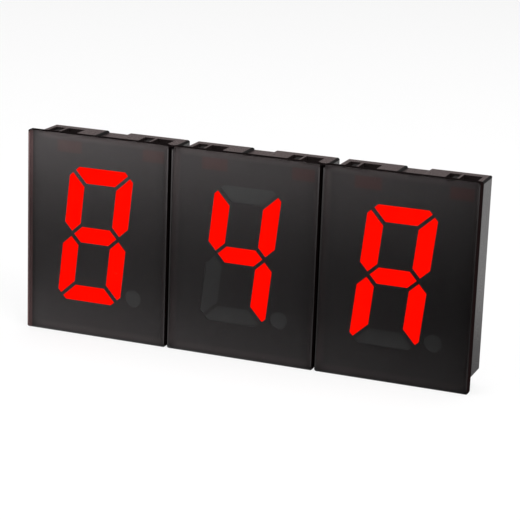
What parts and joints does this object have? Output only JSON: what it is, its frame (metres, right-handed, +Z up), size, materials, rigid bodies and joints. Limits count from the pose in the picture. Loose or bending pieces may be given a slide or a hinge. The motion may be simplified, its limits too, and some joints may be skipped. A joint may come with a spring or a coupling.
{
  "type": "seven segment display",
  "caption": "Row of butted digit modules with smoked front windows, slanted light-bar segments and decimal points, snap-fit cases and rear wire sockets, for numeric panel readouts.",
  "frame": {"origin": "on the base under the centre of the display's box, at the lower edge of the front windows", "axes": "+X to the reader's right along the row, +Y from the front windows to the backs of the cases, +Z up"},
  "size_m": [0.1348, 0.0108, 0.0595],
  "materials": {
    "window": "smoked tint, satin",
    "film": "printed black",
    "case": "fine moulded grain",
    "mask": "matte",
    "segment_lit": "lit red light guide",
    "segment_unlit": "unlit grey light guide",
    "board": "solder mask",
    "led": "chip package",
    "chip": "moulded epoxy",
    "lead_metal": "tinned",
    "resistor": "coated, tinned ends",
    "header": "natural",
    "pin_metal": "plated",
    "link": "matte"
  },
  "bodies": {
    "root": {"left_front_window": "window", "left_mask_film": "film", "left_rear_case": "case", "left_light_mask": "mask", "left_segment_a": "segment_lit", "left_segment_b": "segment_lit", "left_segment_c": "segment_lit", "left_segment_d": "segment_lit", "left_segment_e": "segment_lit", "left_segment_f": "segment_lit", "left_segment_g": "segment_lit", "left_decimal_point": "segment_unlit", "left_circuit_board": "board", "left_led_chips": "led", "left_driver_chip": "chip", "left_chip_leads": "lead_metal", "left_resistors": "resistor", "left_wire_header": "header", "left_header_pins": "pin_metal", "middle_front_window": "window", "middle_mask_film": "film", "middle_rear_case": "case", "middle_light_mask": "mask", "middle_segment_a": "segment_unlit", "middle_segment_b": "segment_lit", "middle_segment_c": "segment_lit", "middle_segment_d": "segment_unlit", "middle_segment_e": "segment_unlit", "middle_segment_f": "segment_lit", "middle_segment_g": "segment_lit", "middle_decimal_point": "segment_unlit", "middle_circuit_board": "board", "middle_led_chips": "led", "middle_driver_chip": "chip", "middle_chip_leads": "lead_metal", "middle_resistors": "resistor", "middle_wire_header": "header", "middle_header_pins": "pin_metal", "right_front_window": "window", "right_mask_film": "film", "right_rear_case": "case", "right_light_mask": "mask", "right_segment_a": "segment_lit", "right_segment_b": "segment_lit", "right_segment_c": "segment_lit", "right_segment_d": "segment_unlit", "right_segment_e": "segment_lit", "right_segment_f": "segment_lit", "right_segment_g": "segment_lit", "right_decimal_point": "segment_unlit", "right_circuit_board": "board", "right_led_chips": "led", "right_driver_chip": "chip", "right_chip_leads": "lead_metal", "right_resistors": "resistor", "right_wire_header": "header", "right_header_pins": "pin_metal", "left_link_plug": "link", "right_link_plug": "link"}
  },
  "joints": []
}
